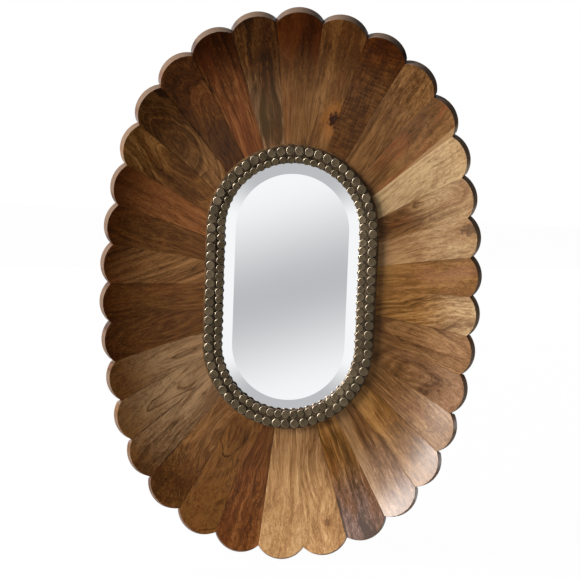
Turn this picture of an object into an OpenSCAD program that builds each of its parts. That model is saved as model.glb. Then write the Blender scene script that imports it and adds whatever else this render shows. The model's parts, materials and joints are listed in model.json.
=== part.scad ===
// Wooden wall mirror: a bevelled glass in a nail-studded metal-clad moulding,
// ringed by solid wood petals that sweep forward to a scalloped rim.
//
// Everything is drawn face up, x to the viewer's right, y up the wall and z towards the
// viewer, and upright() then stands it on the wall with its face towards -Y.
// The origin is the centre of the back panel's rear face.

/* [Petals] */
// Height of the rim between the hollows at its top and bottom
rim_height = 864; // [820:2:900]
// Width of the rim between the hollows at its sides
rim_width = 581; // [560:1:600]
// Radius of the rim's long sides, which run on into the rounder top and bottom
side_radius = 850; // [700:10:1000]
// Number of petals: one stands at the top and one at the bottom
petal_count = 34; // [30:4:38]
// How much wider the end petals are than the average, as a fraction
end_spread = 0.07; // [0:0.01:0.1]
// How much narrower the end petals are at the moulding than the average, as a fraction
root_spread = 0.08; // [0:0.01:0.1]
// Radius of each petal's rounded tip
tip_radius = 44; // [42:0.5:60]
// Thickness of the petals
petal_thickness = 20; // [16:1:24]
// Slope of the petals at the rim, in degrees
rim_slope = 22; // [18:1:23]
// Gap of the joint between two petals
joint_gap = 0.3; // [0.1:0.1:1]

/* [Glass] */
// Straight length of the glass's long sides
glass_straight = 190; // [150:2:230]
// Radius of the glass's round ends
glass_radius = 116; // [108:1:118]
// Thickness of the glass
glass_thickness = 5; // [4:0.5:6]
// Width of the ground bevel
bevel_width = 24; // [15:1:30]
// Depth of the bevel at the glass's edge
bevel_depth = 2.2; // [1:0.1:3]
// Play between the glass and the wood all round it
glass_play = 2; // [1:0.5:3]

/* [Moulding] */
// How far the moulding laps over the glass
glass_lap = 6; // [4:0.5:8]
// Width of the moulding, without the flange of its cladding
moulding_width = 28; // [27:0.5:32]
// Height of the moulding above the petals
moulding_height = 8; // [7:0.5:12]
// Slope of the moulding's inner half down to the glass, in degrees
moulding_slope = 15; // [0:1:20]
// Thickness of the metal cladding
cladding_thickness = 0.8; // [0.5:0.1:1.2]
// Width of the cladding's flange on the petals
flange_width = 2.6; // [2:0.2:5]

/* [Nails] */
// Diameter of the outer row's heads
outer_head = 14.1; // [11:0.1:14.4]
// Diameter of the inner row's heads
inner_head = 11.8; // [9:0.1:12]
// Least gap between two heads of a row
nail_gap = 1; // [0.6:0.1:4]
// Height of the nail heads
head_height = 2.2; // [1.5:0.1:4]
// Width of the bevel round each head
head_bevel = 1.6; // [0.8:0.1:2.4]
// Diameter of the nail shanks
shank_diameter = 2.4; // [1.6:0.1:3.2]
// Length of the nail shanks
shank_length = 6; // [4:0.5:6.5]

/* [Back] */
// Thickness of the board that carries the petals
board_thickness = 9; // [6:1:15]
// Width of that board all round the back panel
board_border = 31.5; // [29:0.5:40]
// Thickness of the back panel
panel_thickness = 3; // [2:0.5:4]
// How far the back panel laps onto the board round the glass pocket
panel_lap = 12; // [10:0.5:14]
// Play round the back panel in its rebate
panel_play = 0.5; // [0.2:0.1:1]
// Number of screws that hold the back panel
panel_screw_count = 12; // [8:2:20]
// Diameter of the petal screws' heads
petal_screw_head = 7; // [6:0.5:8]
// How far each petal screw enters its petal
petal_screw_grip = 12; // [8:1:14]
// Diameter of the wall bumpers
bumper_diameter = 16; // [10:1:22]
// Height of the wall bumpers
bumper_height = 5; // [4.8:0.2:8]
// Where the bumpers sit round the lower end, in degrees from its middle
bumper_angle = 42; // [20:1:60]

/* [Hangers] */
// Height of the ring pivots above the mirror's centre
hanger_rise = 150; // [110:1:170]
// Width of the hanger straps
strap_width = 12; // [10:0.5:14]
// Thickness of the hanger straps
strap_thickness = 1.2; // [0.8:0.1:1.6]
// Distance from the ring pivot to the first screw
first_screw = 18; // [17:0.5:24]
// Distance between a strap's two screws
screw_pitch = 12; // [9:0.5:16]
// Diameter of the ring wire
wire_diameter = 3; // [2.5:0.1:3.4]
// Radius of the ring's round end, at the middle of the wire
ring_radius = 9.5; // [9:0.1:10.5]
// Length of the ring's straight legs
ring_leg = 3; // [2:0.1:3.5]
// Running clearance of the ring in its knuckle, all round
ring_play = 0.08; // [0.04:0.01:0.1]

/* [Hidden] */
full_turn = 360;
half_turn = 180;

// Rim oval: two end arcs and two flatter side arcs, tangent where they meet
half_width = rim_width / 2;
half_height = rim_height / 2;
side_centre = half_width - side_radius;
end_radius = (side_radius ^ 2 - side_centre ^ 2 - half_height ^ 2) / (2 * (side_radius - half_height));
end_centre = half_height - end_radius;
meet_angle = atan2(-side_centre, end_centre);
end_arc = end_radius * meet_angle * PI / half_turn;
rim_quarter = end_arc + side_radius * (90 - meet_angle) * PI / half_turn;

// Radii of the stadium outlines that share the glass's straight sides
half_straight = glass_straight / 2;
sight_radius = glass_radius - glass_lap;
pocket_radius = glass_radius + glass_play;
moulding_radius = sight_radius + moulding_width;
root_radius = moulding_radius + flange_width;
rebate_radius = pocket_radius + panel_lap;
panel_radius = rebate_radius - panel_play;
board_radius = rebate_radius + board_border;

// Sweep of the petals: it starts beside the board where the rim is nearest
flat_edge = 1.5;
sweep_reach = half_width - board_radius - flat_edge;
sweep_radius = sweep_reach / sin(rim_slope);

// Levels, from the wall towards the viewer
petal_back = board_thickness;
petal_front = petal_back + petal_thickness;
rim_level = petal_front + sweep_radius * (1 - cos(rim_slope));
lip_drop = bevel_depth * (bevel_width - glass_lap) / bevel_width;
lip_play = 0.1;
glass_front = petal_front + lip_drop - lip_play;
glass_back = glass_front - glass_thickness;

// Moulding and nail rows
clad_gap = 0.05;
clad_offset = cladding_thickness + clad_gap;
row_edge = 0.3;
sight_edge = 0.9;
outer_row = moulding_radius - row_edge - outer_head / 2;
inner_row = sight_radius + sight_edge + inner_head / 2;
ridge_radius = (outer_row - outer_head / 2 + inner_row + inner_head / 2) / 2;
clad_top = petal_front + moulding_height;
inner_level = clad_top - (ridge_radius - inner_row) * tan(moulding_slope);

// Screws
wood_screw_radius = 1.6;
screw_tip = 2;
blunt_tip = 0.3;
panel_screw_head = 6;
panel_screw_length = 8;
countersink = 1.6;
panel_screw_path = pocket_radius + panel_lap / 2;
petal_screw_edge = 1;
petal_screw_path = board_radius - petal_screw_head / 2 - petal_screw_edge;

// Hangers: the strap stands between the back panel and the petal screws
wire_radius = wire_diameter / 2;
knuckle_radius = wire_radius + ring_play + strap_thickness;
knuckle_length = 9;
pivot_depth = knuckle_radius + 0.3;
strap_length = first_screw + screw_pitch + strap_width / 2;
strap_outer = sqrt((petal_screw_path - petal_screw_head / 2) ^ 2 - (hanger_rise - half_straight) ^ 2);
strap_inner = sqrt(rebate_radius ^ 2 - max(0, hanger_rise - strap_length - half_straight) ^ 2);
hanger_side = (strap_outer + strap_inner) / 2;
hanger_screw_radius = 1.7;
hanger_screw_play = 0.3;
pan_head_radius = 3.2;
pan_head_height = 1.6;
bumper_path = (rebate_radius + petal_screw_path - petal_screw_head / 2) / 2;
bumper_draft = 1;

// Cutting sizes, larger than anything that they cut
margin = 1;
cut_reach = 60;
cut_length = rim_height;

wood_tones = ["#6b4226", "#7d5630", "#4f2f1c", "#8a6238", "#5e3a20", "#9a744a", "#73492a", "#553420"];
metal_tone = "#5f5444";
steel_tone = "#b4b4b2";

function petal_name(i) = str("petal_", i < 10 ? "0" : "", i);

$fn = 64;

// Points along an outline that has the same shape in all four quarters.
// A distance runs clockwise from the top, and quarter is the length of one quarter.
function quarter_of(s, quarter) = floor(s / quarter) % 4;
function within(s, quarter) = let (r = s - floor(s / quarter) * quarter)
    quarter_of(s, quarter) % 2 == 0 ? r : quarter - r;
function placed(p, q) = [q < 2 ? p.x : -p.x, q == 0 || q == 3 ? p.y : -p.y];

// First quarter of the rim oval
function rim_corner(s) = s < end_arc
    ? let (a = s / end_radius * half_turn / PI) [end_radius * sin(a), end_centre + end_radius * cos(a)]
    : let (a = meet_angle + (s - end_arc) / side_radius * half_turn / PI)
        [side_centre + side_radius * sin(a), side_radius * cos(a)];
function rim_point(s) = placed(rim_corner(within(s, rim_quarter)), quarter_of(s, rim_quarter));

// First quarter of a stadium of end radius r
function stadium_quarter(r) = r * PI / 2 + half_straight;
function stadium_corner(s, r) = s < r * PI / 2
    ? let (a = s / r * half_turn / PI) [r * sin(a), half_straight + r * cos(a)]
    : [r, half_straight - (s - r * PI / 2)];
function stadium_point(s, r) =
    placed(stadium_corner(within(s, stadium_quarter(r)), r), quarter_of(s, stadium_quarter(r)));
function round_point(share, r) = stadium_point(4 * stadium_quarter(r) * share, r);

// Direction that faces out of a stadium, as an angle from +x
function stadium_facing(p) = let (over = max(0, abs(p.y) - half_straight) * sign(p.y))
    atan2(over, p.x);

// Where joint k crosses the rim and the moulding's edge: the end petals fan out more
function joint_share(k, spread) = let (t = (k + petal_count) % petal_count / petal_count)
    t + spread / (4 * PI) * sin(2 * full_turn * t);
function rim_joint(k) = rim_point(4 * rim_quarter * joint_share(k, end_spread));
function root_joint(k) = round_point(joint_share(k, -root_spread), root_radius);
function unit(v) = v / norm(v);

// Stands the face-up model on the wall
module upright() {
    rotate([90, 0, 0])
    children();
}

// Sweeps a profile, drawn with x outwards and y towards the viewer, round a stadium
module round_stadium() {
    for (end = [0, half_turn])
        rotate([0, 0, end])
        translate([0, half_straight, 0])
        rotate_extrude(angle = half_turn)
        children();
    for (side = [0, 1])
        mirror([side, 0, 0])
        rotate([90, 0, 0])
        linear_extrude(glass_straight, center = true)
        children();
}

// Flat stadium plate of end radius r, from level low to level high
module stadium_plate(r, low, high) {
    round_stadium()
    translate([0, low])
    square([r, high - low]);
}

// Side view of a petal: flat where it is fixed, then swept up past the rim at x = 0
module petal_side() {
    over_sweep = rim_slope + 6;
    outer_curve = sweep_radius + petal_thickness;
    far = outer_curve / cos(over_sweep / 2) + margin;
    translate([-cut_length, petal_back])
    square([cut_length - sweep_reach, petal_thickness]);
    translate([-sweep_reach, petal_front + sweep_radius])
    intersection() {
        difference() {
            circle(outer_curve, $fn = 360);
            circle(sweep_radius, $fn = 360);
        }
        polygon([[0, 0], [0, -far], [far * sin(over_sweep), -far * cos(over_sweep)]]);
    }
}

// Straight joint cuts on both sides of petal i, seen from the front
module petal_plan(i) {
    first = rim_joint(i - 1.5);
    last = rim_joint(i - 0.5);
    inset = unit(last - first) * joint_gap / 2;
    first_run = unit(first - root_joint(i - 1.5)) * cut_reach;
    last_run = unit(last - root_joint(i - 0.5)) * cut_reach;
    polygon([
        root_joint(i - 1.5) - first_run + inset,
        first + first_run + inset,
        last + last_run - inset,
        root_joint(i - 0.5) - last_run - inset
    ]);
}

// Round tip of a petal whose hollows are chord apart, square to the swept face
module petal_tip(chord) {
    back_off = sqrt(tip_radius ^ 2 - (chord / 2) ^ 2);
    rotate([rim_slope, 0, 0])
    translate([0, -back_off, -cut_length / 2])
    linear_extrude(cut_length) {
        circle(tip_radius, $fn = 128);
        translate([-cut_length / 2, -cut_length])
        square(cut_length);
    }
}

// One petal: swept blank, cut to its joints, its round tip and the glass pocket
module petal(i) {
    first = rim_joint(i - 1.5);
    last = rim_joint(i - 0.5);
    chord = norm(last - first);
    across = last - first;
    middle = (first + last) / 2;
    color(wood_tones[(i * 3) % len(wood_tones)])
    upright()
    difference() {
        intersection() {
            linear_extrude(cut_length)
            petal_plan(i);
            translate(middle)
            rotate([0, 0, atan2(across.y, across.x)])
            intersection() {
                rotate([90, 0, 90])
                linear_extrude(cut_length, center = true)
                petal_side();
                translate([0, 0, rim_level])
                petal_tip(chord);
            }
        }
        stadium_plate(pocket_radius, -margin, petal_front + margin);
    }
}

// Plywood ring that carries the petals, rebated at the back for the panel
module backer_board() {
    color("#b9986b")
    upright()
    difference() {
        stadium_plate(board_radius, 0, board_thickness);
        stadium_plate(pocket_radius, -margin, board_thickness + margin);
        stadium_plate(rebate_radius, -margin, panel_thickness);
    }
}

// Wood core of the moulding, flat outside and sloping down to the glass inside
module moulding_core() {
    top = clad_top - clad_offset;
    inner = sight_radius + clad_offset;
    color("#7a5a38")
    upright()
    round_stadium()
    polygon([
        [inner, petal_front],
        [moulding_radius - clad_offset, petal_front],
        [moulding_radius - clad_offset, top],
        [ridge_radius, top],
        [inner, top - (ridge_radius - inner) * tan(moulding_slope)]
    ]);
}

// Sheet metal folded over the core, with a flange on the petals
module moulding_cladding() {
    inner = sight_radius + cladding_thickness;
    inside_top = clad_top - cladding_thickness;
    color(metal_tone)
    upright()
    round_stadium()
    polygon([
        [sight_radius, petal_front],
        [inner, petal_front],
        [inner, inside_top - (ridge_radius - inner) * tan(moulding_slope)],
        [ridge_radius, inside_top],
        [moulding_radius - cladding_thickness, inside_top],
        [moulding_radius - cladding_thickness, petal_front],
        [root_radius, petal_front],
        [root_radius, petal_front + cladding_thickness],
        [moulding_radius, petal_front + cladding_thickness],
        [moulding_radius, clad_top],
        [ridge_radius, clad_top],
        [sight_radius, clad_top - (ridge_radius - sight_radius) * tan(moulding_slope)]
    ]);
}

// Nail with a flat bevelled head whose underside lies at z = 0
module nail(head) {
    crown = head / 2 - head_bevel;
    shank = shank_diameter / 2;
    rotate_extrude($fn = 32)
    polygon([
        [0, -shank_length],
        [shank * blunt_tip, -shank_length],
        [shank, -shank_length + screw_tip],
        [shank, 0],
        [head / 2, 0],
        [head / 2, head_height / 2],
        [crown, head_height],
        [0, head_height]
    ]);
}

// Row of nails along the stadium of end radius r, standing on a face that slopes inwards
module nail_row(r, head, level, slope) {
    count = floor(4 * stadium_quarter(r) / (head + nail_gap));
    for (i = [0:count - 1]) {
        p = round_point((i + 0.5) / count, r);
        translate([p.x, p.y, level])
        rotate([0, 0, stadium_facing(p)])
        rotate([0, -slope, 0])
        nail(head);
    }
}

module outer_nails() {
    color(metal_tone)
    upright()
    nail_row(outer_row, outer_head, clad_top, 0);
}

module inner_nails() {
    color(metal_tone)
    upright()
    nail_row(inner_row, inner_head, inner_level, moulding_slope);
}

// Silvered glass with a ground bevel all round its front
module mirror_glass() {
    color("#d9dde0")
    upright()
    round_stadium()
    polygon([
        [0, glass_back],
        [glass_radius, glass_back],
        [glass_radius, glass_front - bevel_depth],
        [glass_radius - bevel_width, glass_front],
        [0, glass_front]
    ]);
}

// Board that fills the pocket and presses the glass to the moulding
module backing_board() {
    color("#a98d66")
    upright()
    stadium_plate(glass_radius, panel_thickness, glass_back);
}

// Screw with a flat head at z = 0 that points towards +z
module flat_screw(head, shank, length) {
    rotate_extrude($fn = 32)
    polygon([
        [0, 0],
        [head / 2, 0],
        [shank, countersink],
        [shank, length - screw_tip],
        [0, length]
    ]);
}

// Places its children at the panel screws
module at_panel_screws() {
    for (i = [0:panel_screw_count - 1]) {
        p = round_point((i + 0.5) / panel_screw_count, panel_screw_path);
        translate([p.x, p.y, 0])
        children();
    }
}

// Hardboard panel let into the back of the board, with its screw holes
module back_panel() {
    screw_play = 0.15;
    hole_radius = wood_screw_radius + screw_play;
    color("#8d6f4c")
    upright()
    difference() {
        stadium_plate(panel_radius, 0, panel_thickness);
        at_panel_screws()
        translate([0, 0, -margin])
        cylinder(h = panel_thickness + 2 * margin, r = hole_radius, $fn = 32);
        at_panel_screws()
        cylinder(h = countersink, r1 = panel_screw_head / 2 + screw_play, r2 = hole_radius, $fn = 32);
    }
}

module panel_screws() {
    color(steel_tone)
    upright()
    at_panel_screws()
    flat_screw(panel_screw_head, wood_screw_radius, panel_screw_length);
}

// One screw through the board into each petal, on the petal's own middle line
module petal_screws() {
    color(steel_tone)
    upright()
    for (i = [1:petal_count]) {
        root = (root_joint(i - 1.5) + root_joint(i - 0.5)) / 2;
        tip = (rim_joint(i - 1.5) + rim_joint(i - 0.5)) / 2;
        p = root + unit(tip - root) * (petal_screw_path - root_radius);
        translate([p.x, p.y, 0])
        flat_screw(petal_screw_head, wood_screw_radius, petal_back + petal_screw_grip);
    }
}

// Places its children at the two screws of each hanger strap, on the board's back
module at_hanger_screws(side) {
    for (step = [0, 1])
        translate([side * hanger_side, hanger_rise - first_screw - step * screw_pitch, 0])
        children();
}

// Steel strap with a knuckle at its top for the ring
module strap(side) {
    color(steel_tone)
    upright()
    difference() {
        translate([side * hanger_side, hanger_rise, 0]) {
            translate([-strap_width / 2, strap_width / 2 - strap_length, -strap_thickness])
            cube([strap_width, strap_length - strap_width / 2 - knuckle_radius, strap_thickness]);
            translate([0, strap_width / 2 - strap_length, -strap_thickness])
            cylinder(h = strap_thickness, r = strap_width / 2);
            translate([-knuckle_length / 2, -knuckle_radius - margin, -strap_thickness])
            cube([knuckle_length, knuckle_radius + margin, strap_thickness]);
            translate([0, 0, -pivot_depth])
            rotate([0, 90, 0])
            cylinder(h = knuckle_length, r = knuckle_radius, center = true);
        }
        translate([side * hanger_side, hanger_rise, -pivot_depth])
        rotate([0, 90, 0])
        cylinder(h = strap_width + margin, r = wire_radius + ring_play, center = true);
        at_hanger_screws(side)
        translate([0, 0, -strap_thickness - margin])
        cylinder(h = strap_thickness + 2 * margin, r = hanger_screw_radius + hanger_screw_play);
    }
}

module left_strap() {
    strap(-1);
}

module right_strap() {
    strap(1);
}

// Wire ring that hangs down from its knuckle: a straight bar, two legs and a round end
module ring(side) {
    color(steel_tone)
    upright()
    translate([side * hanger_side, hanger_rise, -pivot_depth]) {
        rotate([0, 90, 0])
        cylinder(h = 2 * ring_radius, r = wire_radius, center = true);
        for (end = [-1, 1]) {
            translate([end * ring_radius, 0, 0])
            sphere(wire_radius);
            translate([end * ring_radius, 0, 0])
            rotate([90, 0, 0])
            cylinder(h = ring_leg, r = wire_radius);
        }
        translate([0, -ring_leg, 0])
        rotate([0, 0, half_turn])
        rotate_extrude(angle = half_turn)
        translate([ring_radius, 0])
        circle(wire_radius);
    }
}

module left_ring() {
    ring(-1);
}

module right_ring() {
    ring(1);
}

// Pan-head screws that fix the straps
module hanger_screws() {
    head_base = -strap_thickness;
    color(steel_tone)
    upright()
    for (side = [-1, 1])
        at_hanger_screws(side)
        rotate_extrude($fn = 32)
        polygon([
            [0, head_base - pan_head_height],
            [pan_head_radius - pan_head_height / 2, head_base - pan_head_height],
            [pan_head_radius, head_base - pan_head_height / 2],
            [pan_head_radius, head_base],
            [hanger_screw_radius, head_base],
            [hanger_screw_radius, board_thickness - 2 * screw_tip],
            [0, board_thickness - screw_tip]
        ]);
}

// Rubber bumpers that keep the lower end off the wall
module wall_bumpers() {
    color("#2a2a2a")
    upright()
    for (side = [-1, 1])
        translate([side * bumper_path * sin(bumper_angle), -half_straight - bumper_path * cos(bumper_angle), 0])
        rotate([half_turn, 0, 0])
        cylinder(h = bumper_height, r1 = bumper_diameter / 2, r2 = bumper_diameter / 2 - bumper_draft);
}

for (i = [1:petal_count])
    petal(i);
backer_board();
moulding_core();
moulding_cladding();
outer_nails();
inner_nails();
mirror_glass();
backing_board();
back_panel();
panel_screws();
petal_screws();
left_strap();
right_strap();
left_ring();
right_ring();
hanger_screws();
wall_bumpers();
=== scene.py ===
import json
import math
import random

import bmesh
import bpy
import numpy as np
from mathutils import Matrix, Vector

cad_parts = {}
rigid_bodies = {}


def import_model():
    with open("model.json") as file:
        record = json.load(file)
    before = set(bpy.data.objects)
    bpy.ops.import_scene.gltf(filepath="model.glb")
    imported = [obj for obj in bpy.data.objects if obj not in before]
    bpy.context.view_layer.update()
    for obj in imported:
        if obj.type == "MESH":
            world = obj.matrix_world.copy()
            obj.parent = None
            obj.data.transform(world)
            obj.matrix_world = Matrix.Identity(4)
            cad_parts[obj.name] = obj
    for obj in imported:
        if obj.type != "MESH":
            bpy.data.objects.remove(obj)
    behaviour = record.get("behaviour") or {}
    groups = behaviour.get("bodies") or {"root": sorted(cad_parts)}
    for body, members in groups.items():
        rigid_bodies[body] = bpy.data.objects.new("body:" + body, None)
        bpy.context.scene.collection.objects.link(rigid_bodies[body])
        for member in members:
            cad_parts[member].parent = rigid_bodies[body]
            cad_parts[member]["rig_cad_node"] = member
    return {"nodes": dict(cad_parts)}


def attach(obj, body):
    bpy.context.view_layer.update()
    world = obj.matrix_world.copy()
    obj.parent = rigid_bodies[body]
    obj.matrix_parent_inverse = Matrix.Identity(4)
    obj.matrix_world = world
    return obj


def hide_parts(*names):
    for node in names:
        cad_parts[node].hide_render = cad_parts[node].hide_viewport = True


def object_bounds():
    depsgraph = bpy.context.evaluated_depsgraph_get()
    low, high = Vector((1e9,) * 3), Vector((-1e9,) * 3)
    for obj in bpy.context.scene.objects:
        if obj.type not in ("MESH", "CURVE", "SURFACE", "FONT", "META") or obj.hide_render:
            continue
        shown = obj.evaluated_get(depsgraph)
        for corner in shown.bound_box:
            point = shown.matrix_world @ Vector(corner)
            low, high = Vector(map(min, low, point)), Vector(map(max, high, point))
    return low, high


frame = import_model()
cad_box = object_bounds()
NODES = frame["nodes"]
MIRROR = "mirror"
FRONT = Vector((0.0, -1.0, 0.0))

# Vertices nearer than this are one
WELD = 1e-6

# Camera: the photograph was taken from a little above, with the mirror rolled clockwise
FRAME_PIXELS = 580
METRES_PER_PIXEL = 0.001643
VIEW_DISTANCE = 3.5
VIEW_ELEVATION = 10.0
VIEW_AZIMUTH = 0.5
VIEW_ROLL = 2.1
ORIGIN_PIXEL = (290.6, 284.7)
SENSOR = 36.0

# Lamps: a window-like one at the left, a small one nearer the front for the sheen, and one behind
KEY_DIRECTION = (-0.79, -0.43, 0.42)
KEY_DISTANCE = 4.5
KEY_SIZE = (1.6, 2.8)
KEY_POWER = 330.0
SHEEN_DIRECTION = (-0.47, -0.88, 0.06)
SHEEN_DISTANCE = 2.4
SHEEN_SIZE = (0.4, 0.6)
SHEEN_POWER = 26.0
REAR_DIRECTION = (-0.2, 1.0, 0.3)
REAR_DISTANCE = 2.6
REAR_SIZE = (3.2, 3.2)
REAR_POWER = 54.0
# Strength of the even light from all sides
AMBIENT = 0.12

random.seed(5)


def rgb(code):
    """Linear colour of a web colour such as 7d5630."""
    values = [int(code[i:i + 2], 16) / 255 for i in (0, 2, 4)]
    return [v / 12.92 if v <= 0.04045 else ((v + 0.055) / 1.055) ** 2.4 for v in values] + [1.0]


class Graph:
    """Short ways to add shader nodes to one tree."""

    def __init__(self, tree):
        self.tree = tree

    def node(self, kind, **settings):
        """A new node with its settings."""
        made = self.tree.nodes.new(kind)
        for name, value in settings.items():
            setattr(made, name, value)
        return made

    def feed(self, value, socket):
        """Link another socket to this one, or set a plain value."""
        if isinstance(value, bpy.types.NodeSocket):
            self.tree.links.new(value, socket)
        else:
            socket.default_value = value

    def math(self, operation, *values, clamp=False):
        made = self.node("ShaderNodeMath", operation=operation, use_clamp=clamp)
        for value, socket in zip(values, made.inputs):
            self.feed(value, socket)
        return made.outputs[0]

    def vector(self, operation, *values):
        made = self.node("ShaderNodeVectorMath", operation=operation)
        for value, socket in zip(values, made.inputs):
            self.feed(value, socket)
        return made.outputs["Value" if operation in ("DOT_PRODUCT", "LENGTH") else "Vector"]

    def combine(self, x, y, z):
        made = self.node("ShaderNodeCombineXYZ")
        for value, socket in zip((x, y, z), made.inputs):
            self.feed(value, socket)
        return made.outputs[0]

    def separate(self, value):
        made = self.node("ShaderNodeSeparateXYZ")
        self.feed(value, made.inputs[0])
        return made.outputs

    def noise(self, place, scale, detail=2.0, roughness=0.5):
        """Noise from 0 to 1, finer along the axes whose scale is larger."""
        made = self.node("ShaderNodeTexNoise")
        self.feed(self.vector("MULTIPLY", place, scale), made.inputs["Vector"])
        made.inputs["Scale"].default_value = 1.0
        made.inputs["Detail"].default_value = detail
        made.inputs["Roughness"].default_value = roughness
        return made.outputs["Fac"]

    def step(self, value, low, high):
        """0 below low, 1 above high and smooth between."""
        made = self.node("ShaderNodeMapRange", interpolation_type="SMOOTHSTEP")
        for item, socket in zip((value, low, high, 0.0, 1.0), made.inputs):
            self.feed(item, socket)
        return made.outputs[0]

    def mix(self, share, first, second, blend="MIX"):
        """The first colour, and by that share the second one."""
        made = self.node("ShaderNodeMix", data_type="RGBA", blend_type=blend)
        self.feed(share, made.inputs[0])
        self.feed(first, made.inputs[6])
        self.feed(second, made.inputs[7])
        return made.outputs[2]

    def bump(self, height, strength, distance):
        made = self.node("ShaderNodeBump")
        made.inputs["Strength"].default_value = strength
        made.inputs["Distance"].default_value = distance
        self.feed(height, made.inputs["Height"])
        return made.outputs[0]

    def blend(self, share, first, second):
        """The first shader, and by that share the second one."""
        made = self.node("ShaderNodeMixShader")
        for value, socket in zip((share, first, second), made.inputs):
            self.feed(value, socket)
        return made.outputs[0]


def new_material(name):
    """A material with a Principled shader, its graph and that shader."""
    made = bpy.data.materials.new(name)
    made.use_nodes = True
    made.node_tree.nodes.clear()
    graph = Graph(made.node_tree)
    shader = graph.node("ShaderNodeBsdfPrincipled")
    output = graph.node("ShaderNodeOutputMaterial")
    graph.feed(shader.outputs[0], output.inputs[0])
    return made, graph, shader


def object_place(graph):
    """Coordinates of a point in its object, which are those of the frame at rest."""
    return graph.node("ShaderNodeTexCoord").outputs["Object"]


def dress(obj, material):
    """Give the whole object one material."""
    obj.data.materials.clear()
    obj.data.materials.append(material)


def cad_mesh(node):
    """A bmesh of a CAD node, with its doubled vertices joined."""
    bm = bmesh.new()
    bm.from_mesh(NODES[node].data)
    bmesh.ops.remove_doubles(bm, verts=bm.verts, dist=WELD)
    return bm


def new_piece(bm, name):
    """The object made from a bmesh, which is freed."""
    mesh = bpy.data.meshes.new(name)
    bm.to_mesh(mesh)
    bm.free()
    piece = bpy.data.objects.new(name, mesh)
    bpy.context.scene.collection.objects.link(piece)
    return piece


# Wood: one shared node group, fed with each board's own tones and figure

WOOD_VECTORS = ("Place", "Outward", "Pith", "Knot", "Sap")
WOOD_COLOURS = ("Root dark", "Root mid", "Root light", "Tip dark", "Tip mid", "Tip light", "Blush",
                "Knot colour", "Halo colour")
WOOD_NUMBERS = ("Seed", "Tip start", "Tip blur", "Blush share", "Pitch", "Rings", "Rise", "Lean", "Warp",
                "Veins", "Streaks", "Patches", "Cross", "Knot depth", "Shade", "Root lift")

# How much half a petal widens for each metre outward, and how far out its root's tone is lifted: partly
# the board's own paler tone, partly painted light against the shade beside the moulding
WIDENING = 0.09
ROOT_REACH = 0.06

# A knot is longer than it is wide and has a ragged edge; its pull on the rings fades outward
KNOT_LENGTH = 1.7
KNOT_RAGGEDNESS = 2.2
KNOT_FADE = 0.2
KNOT_PUSH = 1.5

# Noises on a board: waves across, along and into it, octaves, and a roughness where it isn't usual
GRAIN = {
    "slow_bend": ((13, 6, 13), 1),
    "quick_bend": ((50, 17, 50), 2),
    "ring": ((1, 1, 1), 4, 0.62),
    "broad_ring": ((0.3, 1, 1), 1),
    "vein_gaps": ((20, 14, 20), 1),
    "patch": ((30, 5, 1), 3, 0.55),
    "streak": ((190, 6, 190), 4, 0.62),
    "fibre": ((1100, 36, 1100), 3, 0.6),
    "cross": ((45, 300, 45), 3, 0.6),
    "mottle": ((330, 36, 330), 3, 0.6),
    "dark_line": ((430, 13, 430), 2),
    "pale_line": ((390, 15, 390), 2),
    "blush": ((38, 8, 38), 3),
    "pore": ((720, 110, 720), 2),
    "knot_edge": ((260, 150, 260), 3),
    "end_speckle": ((700, 700, 260), 2),
    "end_rings": ((120, 120, 900), 2),
}

# Where each part begins to show and where it shows fully
FADE = {
    "root": (ROOT_REACH, 0.0),
    "tip": (-1.0, 1.0),
    "vein": (0.014, 0.0),
    "vein_gaps": (0.4, 0.6),
    "patch": (0.47, 0.54),
    "dark_line": (0.41, 0.34),
    "pale_line": (0.59, 0.67),
    "blush": (0.45, 0.66),
    "pore": (0.40, 0.32),
    "sap": (-0.001, 0.002),
    "halo": (3.4, 0.6),
    "core": (1.3, 0.5),
    "end": (0.6, 0.8),
    "polish": (0.07, 0.14),
}

# How much each of them changes the tone, beside the board's own numbers
RING_WEIGHT = 2.0
STREAK_WEIGHT = 1.6
CROSS_WEIGHT = 1.6
FIBRE_WEIGHT = 0.9
MOTTLE_WEIGHT = 0.8
DARK_LINE_WEIGHT = -0.3
PALE_LINE_WEIGHT = 0.35

# Tones of small parts, and how strongly each of them covers the wood
PALE_SAP = "c39d6e"
SAP_SHARE = 0.7
PORE_TONE = "6b4a2c"
PORE_SHARE = 0.4
HALO_SHARE = 0.6
SAWN_TONE = "7e6857"
TIP_IN_SAWN = 0.12

# Roughness of the polished face, what a fibre and a sawn end add to it, and what stands out
FACE_ROUGHNESS = 0.2
FIBRE_ROUGHNESS = 0.24
SAWN_ROUGHNESS = 0.3
PORE_HEIGHT = -0.7
FIBRE_HEIGHT = 0.5
RING_HEIGHT = 0.6
CROSS_HEIGHT = 0.8


def knot_fields(g, put, place, x, y):
    """Distance from the knot in radii of its own, and how far it pushes the rings out."""
    knot_x, knot_y, knot_size = g.separate(put["Knot"])
    aside = g.math("DIVIDE", g.math("SUBTRACT", x, knot_x), knot_size)
    along = g.math("DIVIDE", g.math("SUBTRACT", y, knot_y), g.math("MULTIPLY", knot_size, KNOT_LENGTH))
    ragged = g.math("SUBTRACT", g.noise(place, *GRAIN["knot_edge"]), 0.5)
    radii = g.vector("LENGTH", g.combine(aside, along, 0.0))
    away = g.math("MULTIPLY_ADD", ragged, KNOT_RAGGEDNESS, radii)
    near = g.math("POWER", math.e, g.math("MULTIPLY", g.math("POWER", away, 2), -KNOT_FADE))
    bulge = g.math("MULTIPLY", g.math("MULTIPLY", near, put["Knot depth"]), knot_size)
    return away, bulge


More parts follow.
